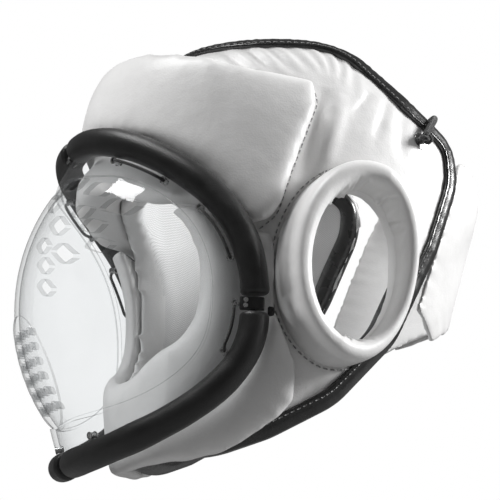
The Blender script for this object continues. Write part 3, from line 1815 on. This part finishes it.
@dataclass(frozen=True)
class Lacing:
    """Braided laces that run along the bumper from one eyelet of the flange to the next."""

    finishes: Finishes
    spans: tuple[tuple[float, float], ...] = ((30, 46), (58, 75), (90, 106))
    inset: float = 10.3
    lift: float = 5.0
    crown: float = 0.8
    radius: float = 0.9

    def build(self) -> None:
        """Makes each lace on both sides."""
        for number, (start, end) in enumerate(self.spans, start=1):
            turns = np.array([start, (2 * start + end) / 3, (start + 2 * end) / 3, end], dtype=float)
            middle, out = RIM.flange(turns, self.inset)
            lifts = self.lift + self.crown * np.array([0, 1, 1, 0])
            raised, under = middle + out * lifts[:, None], middle - out * self.lift
            route = np.concatenate((under[:1], raised, under[-1:]))
            for side, mirror in SIDES.items():
                path = resampled(smooth_route(route * mirror), 0.8)
                lace = round_tube(f"bumper_lace_{side}_{number}", path, self.radius, around=14)
                dress(lace, self.finishes.braid)
                declare(lace, "shell", "black_cord", f"bumper_laces_{side}")


@dataclass(frozen=True)
class ShieldHardware:
    """The moulded shield with its clips, rivets and eyelets, whose CAD shapes stay, and its two straps."""

    finishes: Finishes
    metal: tuple[str, ...] = (
        "bumper_clip_top", "bumper_clip_bottom", "clip_rivets", "shield_eyelets", "cord_eyelets"
    )
    cut_facing: float = 0.7
    flange_reach: float = 14.0
    strap_voxel: float = 0.5

    def build(self) -> None:
        """Gives each CAD piece its finish and makes the straps."""
        nodes = frame["nodes"]
        self.split_cut_faces(nodes["face_shield"])
        dress(nodes["face_shield"], self.finishes.clear, self.finishes.clear_edge)
        for name in self.metal:
            dress(nodes[name], self.finishes.metal)
        for side in SIDES:
            dress(nodes[f"side_clip_{side}"], self.finishes.clip)
            strap = merged_nodes(f"clip_strap_{side}", (f"shield_strap_{side}",), self.strap_voxel)
            relax(strap, 2)
            dress(strap, self.finishes.webbing)
            declare(strap, "shell", "black_webbing", f"shield_strap_{side}")

    def split_cut_faces(self, shield: Piece) -> None:
        """Gives the cut walls of the windows and the breathing holes the slot of the clear edges.

        A face is a cut wall where its normal is turned away from the dome's own, off the flange.

        Args:
            shield: the shield's CAD node.
        """
        faces = shield.data.polygons
        centres, normals = read_vectors(faces, "center") / MM, read_vectors(faces, "normal")
        rises = [RIM.dome_share(centres + step) - RIM.dome_share(centres - step) for step in np.eye(3)]
        facing = np.abs(np.einsum("ij,ij->i", unit(np.stack(rises, axis=1)), normals))
        cut = (facing < self.cut_facing) & (RIM.distance(centres) > self.flange_reach)
        LOG.info("clear edges: %d of %d faces", cut.sum(), len(cut))
        two_slots(shield.data, cut)


# ---- rear closure and crown cord ----


@dataclass(frozen=True)
class ClosurePanel:
    """A flap or wing of doubled leather across the back, thin and a little wavy.

    Its two faces buckle together by wave, and its edge puckers. Both fade where the tape is sewn on, over
    a rectangle round tape_middle that reaches tape_reach sideways and upwards.
    """

    name: str
    node: str
    body: str
    finishes: Finishes
    voxel: float = 1.7
    pressure: float = 1.5
    cap: float = 0.9
    wave: float = 1.1
    wave_length: float = 38.0
    wave_way: Triple = (0.8, 0.2, 0.55)
    pucker: float = 0.35
    pucker_wave: float = 8.0
    tape_middle: tuple[float, float] = (-7.0, 31.5)
    tape_reach: tuple[float, float] = (27.0, 37.5)
    seed: int = 3
    fill: float = 0.4

    def build(self) -> None:
        """Makes the panel."""
        panel = merged_nodes(self.name, (self.node,), self.voxel)
        relax(panel, 4)
        points = mesh_points(panel)
        near_edge = between(self.edge_distance(points)[0], 7, 0)
        swell(panel, self.pressure, self.cap, np.maximum(near_edge, self.under_tape(points)))
        subdivide(panel)
        self.shape_leather(panel)
        dress(panel, self.finishes.white)
        declare(panel, self.body, "white_leather", self.node, fill=self.fill)

    def shape_leather(self, panel: Piece) -> None:
        """Buckles the leather, puckers its edge and marks the seam.

        Args:
            panel: the panel.
        """
        points, normals = mesh_points(panel), mesh_normals(panel)
        distance, place = self.edge_distance(points)
        depth = HEAD.depth(points)
        face = np.sign(depth - np.median(depth))
        buckle = ripple(points @ np.array(self.wave_way), self.wave_length, self.seed) * self.wave
        buckle = np.clip(buckle * between(distance, 0, 12), -self.wave, self.wave)
        pucker = ripple(place, self.pucker_wave, self.seed + 1) * self.pucker * np.exp(-distance / 6)
        lift = (buckle * face * 0.5 + pucker) * (1 - self.under_tape(points))
        move_points(panel, points + normals * lift[:, None])
        mark_seam(panel, np.exp(-distance / 2) * 0.7)

    def under_tape(self, points: Array) -> Array:
        """1 where the tape patches are sewn on, falling to 0 round them."""
        shares = np.abs(points[:, [0, 2]] - np.array(self.tape_middle)) / np.array(self.tape_reach)
        return between(shares.max(axis=1), 1.3, 1.1)

    @staticmethod
    def edge_distance(points: Array) -> tuple[Array, Array]:
        """Distance of each point from the closure's outline, seen from the side, and the place along it."""
        return nearest_on(points[:, 1:], resampled(rounded(SHAPE.flap_outline, SHAPE.flap_bend), 2.0))


@dataclass(frozen=True)
class TapePatch:
    """A patch of hook or loop tape that follows the back of the head form.

    Its outline is a rounded rectangle, |x / a|^n + |z / b|^n = 1 with n = 2 / corner. Rings of it run from
    the middle of one face out to the edge and back in over the other.
    """

    name: str
    node: str
    body: str
    finish: bpy.types.Material
    grow: float
    low_x: float
    high_x: float
    low_z: float = -6.0
    high_z: float = 69.0
    thick: float = 0.8
    corner: float = 0.28
    shares: tuple[float, ...] = (0.04, 0.3, 0.55, 0.8, 0.94, 1.0)

    def build(self) -> None:
        """Makes the patch: two faces and the wall between them."""
        turn = np.linspace(0, 2 * np.pi, 96, endpoint=False)
        share = np.array(self.shares + self.shares[::-1])[:, None]
        grow = np.repeat((self.grow, self.grow - self.thick), len(self.shares))[:, None]
        across = share * power(np.cos(turn), self.corner) * (self.high_x - self.low_x) / 2
        upward = share * power(np.sin(turn), self.corner) * (self.high_z - self.low_z) / 2
        x, z = (self.low_x + self.high_x) / 2 + across, (self.low_z + self.high_z) / 2 + upward
        wide, deep, middle = HEAD.radii(z, grow)
        y = middle + deep * np.sqrt(1 - (x / wide) ** 2)
        patch = tube_object(self.name, np.stack((x, y, z), axis=-1))
        dress(patch, self.finish)
        declare(patch, self.body, "hook_and_loop", self.node)


@dataclass(frozen=True)
class RearClosure:
    """The wide flap from the left, the wing under it from the right, and their tape."""

    finishes: Finishes

    def build(self) -> None:
        """Makes both panels and both patches."""
        hooks, loops = self.finishes.hooks, self.finishes.loops
        ClosurePanel("rear_flap_panel", "rear_flap", "flap", self.finishes).build()
        ClosurePanel("rear_wing_panel", "rear_wing", "wing", self.finishes, seed=9).build()
        TapePatch("hook_tape_patch", "flap_hook_patch", "flap", hooks, -6.5, low_x=-28.0, high_x=12.0).build()
        TapePatch("loop_tape_patch", "wing_loop_patch", "wing", loops, -7.5, low_x=-34.0, high_x=20.0).build()


@dataclass(frozen=True)
class CrownCord:
    """Elastic cord across the back of the crown, knotted outside an eyelet on each side."""

    finishes: Finishes
    radius: float = 2.0
    eyelet: tuple[float, float] = (45.0, 78.0)
    knot_lift: float = 5.2
    knot_size: float = 0.899
    strand: float = 1.5
    tail: float = 22.0
    route_left: tuple[Triple, ...] = (
        (84.2, 46.2, 80.2), (80.5, 51.5, 87.5), (75.5, 56.5, 93.5), (68, 59.5, 96.5),
        (45, 61, 94.5), (15, 62, 93),
    )

    def build(self) -> None:
        """Makes the cord, its two knots and its tails."""
        left = np.array(self.route_left)
        route = np.concatenate((left, (left * SIDES["right"])[::-1]))
        path = smooth_route(route)
        line = resampled(path, 1.2)
        cord = self.dressed(round_tube("crown_elastic_cord", line, self.radius, around=16), "crown_cord")
        spot = HEAD.on_left(np.array([self.eyelet]))
        normal = HEAD.normals(spot)
        for side, mirror in SIDES.items():
            centre, out = (spot + normal * self.knot_lift)[0] * mirror, normal[0] * mirror
            self.knot(f"cord_knot_{side}", centre, out)
            inward = resampled(np.array([centre, centre - out * self.tail]), 1.5)
            tail = round_tube(f"cord_tail_{side}", inward, self.radius * 0.95, around=14)
            self.dressed(tail, "cord_knots")

    def dressed(self, piece: Piece, node: str) -> Piece:
        """Args:
            piece: the cord, a knot or a tail.
            node: CAD node that it stands for.

        Returns:
            The piece.
        """
        dress(piece, self.finishes.braid)
        declare(piece, "shell", "black_cord", node)
        return piece

    def knot(self, name: str, centre: Array, out: Array) -> Piece:
        """An overhand knot drawn tight, whose strand follows a trefoil.

        The trefoil is (sin t + 2 sin 2t, cos t - 2 cos 2t, -1.5 sin 3t) times the knot's size.

        Args:
            name: the piece's name.
            centre: middle of the knot.
            out: unit direction in which the cord leaves the shell.

        Returns:
            The dressed knot.
        """
        turn = np.linspace(0, 2 * np.pi, 90, endpoint=False)
        first = unit(np.cross(out, np.array([0.0, 0.3, 1.0])))
        second = np.cross(out, first)
        across = np.sin(turn) + 2 * np.sin(2 * turn)
        upward = np.cos(turn) - 2 * np.cos(2 * turn)
        rise = -1.5 * np.sin(3 * turn)
        local = across[:, None] * first + upward[:, None] * second + rise[:, None] * out
        strand = round_tube(name, centre + self.knot_size * local, self.strand, around=14, closed=True)
        return self.dressed(strand, "cord_knots")


# ---- studio ----


@dataclass(frozen=True)
class Lamp:
    """A soft square lamp that faces the headgear; in_gloss says whether glossy surfaces mirror it."""

    name: str
    place: Triple
    size: float
    power: float
    in_gloss: bool = True


@dataclass(frozen=True)
class Studio:
    """Pale floor, white surroundings, soft lamps and the camera, whose places and sizes are in metres."""

    floor_z: float = -0.42
    floor_reach: float = 3.0
    lamps: tuple[Lamp, ...] = (
        Lamp("key_lamp", (0.62, 1.40, 0.62), 0.5, 37.0),
        Lamp("top_lamp", (0.1, -0.7, 1.5), 0.6, 19.0),
        Lamp("front_lamp", (-0.25, -1.45, 0.10), 0.5, 10.0, in_gloss=False),
    )
    camera_place: Triple = (1.007, -0.396, -0.2215)
    camera_target: Triple = (0.0, -0.029, 0.026)
    lens: float = 134.6
    world_light: float = 0.10

    def build(self) -> None:
        """Sets the studio up."""
        self.build_floor()
        self.build_world()
        for lamp in self.lamps:
            data = bpy.data.lights.new(lamp.name, "AREA")
            data.shape, data.size, data.energy = "SQUARE", lamp.size, lamp.power
            light = bpy.data.objects.new(lamp.name, data)
            light.visible_glossy = lamp.in_gloss
            self.aim(light, lamp.place, (0.0, 0.0, 0.0))
        data = bpy.data.cameras.new("camera")
        data.lens, data.sensor_width = self.lens, 36.0
        camera = bpy.data.objects.new("camera", data)
        self.aim(camera, self.camera_place, self.camera_target)
        scene = bpy.context.scene
        scene.camera = camera
        scene.view_settings.view_transform = "Standard"

    @staticmethod
    def aim(thing: Piece, place: Triple, target: Triple) -> None:
        """Puts a lamp or camera in place and turns it to its target.

        Args:
            thing: the lamp or camera.
            place: where it stands.
            target: the point that it faces.
        """
        bpy.context.scene.collection.objects.link(thing)
        thing.location = place
        thing.rotation_euler = (Vector(target) - Vector(place)).to_track_quat("-Z", "Y").to_euler()

    def build_floor(self) -> None:
        """A wide floor well under the headgear, pale in the light it gives back and white to the camera."""
        corners = np.array([(-1, -1, 0), (1, -1, 0), (1, 1, 0), (-1, 1, 0)]) * self.floor_reach
        corners[:, 2] = self.floor_z
        floor = bpy.data.objects.new("floor", vertex_mesh("floor", corners / MM, [[0, 1, 2, 3]]))
        bpy.context.scene.collection.objects.link(floor)
        recipe = Recipe("pale_floor")
        recipe.colour(recipe.blend(recipe.noise(3.0), grey(0.24), grey(0.26)))
        recipe.plain(Roughness=0.8)
        seen = recipe.node("ShaderNodeLightPath").outputs["Is Camera Ray"]
        white = recipe.node("ShaderNodeEmission", {"Color": grey(1.0)}).outputs[0]
        recipe.surface(recipe.mix(seen, recipe.shader.outputs[0], white))
        dress(floor, recipe.material)

    def build_world(self) -> None:
        """White where the camera sees it, also through clear plastic, and a soft light elsewhere."""
        world = bpy.data.worlds.new("studio")
        bpy.context.scene.world = world
        world.use_nodes = True
        tree = world.node_tree
        tree.nodes.clear()
        path = tree.nodes.new("ShaderNodeLightPath")
        seen = tree.nodes.new("ShaderNodeMath")
        seen.operation = "MAXIMUM"
        tree.links.new(path.outputs["Is Camera Ray"], seen.inputs[0])
        tree.links.new(path.outputs["Is Transmission Ray"], seen.inputs[1])
        strength = tree.nodes.new("ShaderNodeMapRange")
        strength.inputs["To Min"].default_value = self.world_light
        strength.inputs["To Max"].default_value = 1.0
        tree.links.new(seen.outputs[0], strength.inputs["Value"])
        light = tree.nodes.new("ShaderNodeBackground")
        light.inputs["Color"].default_value = grey(1.0)
        tree.links.new(strength.outputs[0], light.inputs["Strength"])
        output = tree.nodes.new("ShaderNodeOutputWorld")
        tree.links.new(light.outputs[0], output.inputs["Surface"])


# ---- the whole headgear ----


def pads(finishes: Finishes) -> tuple[StuffedPad, ...]:
    """The two stuffed pads of the face; the cheek pads and the chin pad are one piece to the eye.

    Args:
        finishes: the headgear's finishes.

    Returns:
        The pads, from the top.
    """
    brow = ("forehead_cover", "forehead_foam")
    jaw = ("chin_cover", "chin_foam", "cheek_pad_left", "cheek_pad_right")
    return (
        StuffedPad("forehead_pad", brow, SHAPE.forehead_outline, finishes, soften=14, crest=7.0),
        StuffedPad(
            "jaw_pad", jaw, SHAPE.jaw_outline, finishes, voxel=3.4, soften=24, front_ease=8.0,
            side_sink=0.7, seed=15,
        ),
    )


def main() -> None:
    """Builds every sub-assembly in order and reports each."""
    logging.basicConfig(level=logging.INFO, format="%(message)s")
    finishes = Finishes()
    Studio().build()
    Shell(finishes).build()
    LOG.info("padded shell")
    EdgeBinding(finishes).build()
    LOG.info("edge binding")
    for pad in pads(finishes):
        pad.build()
        LOG.info("%s", pad.name)
    SeamStitches(finishes).build()
    LOG.info("forehead stitches")
    EAR.build(finishes)
    LOG.info("ear rings")
    ShieldHardware(finishes).build()
    LOG.info("shield hardware")
    Bumper(finishes).build()
    LOG.info("bumper")
    Lacing(finishes).build()
    LOG.info("lacing")
    RearClosure(finishes).build()
    LOG.info("rear closure")
    CrownCord(finishes).build()
    LOG.info("crown cord")


if __name__ == "__main__":
    main()
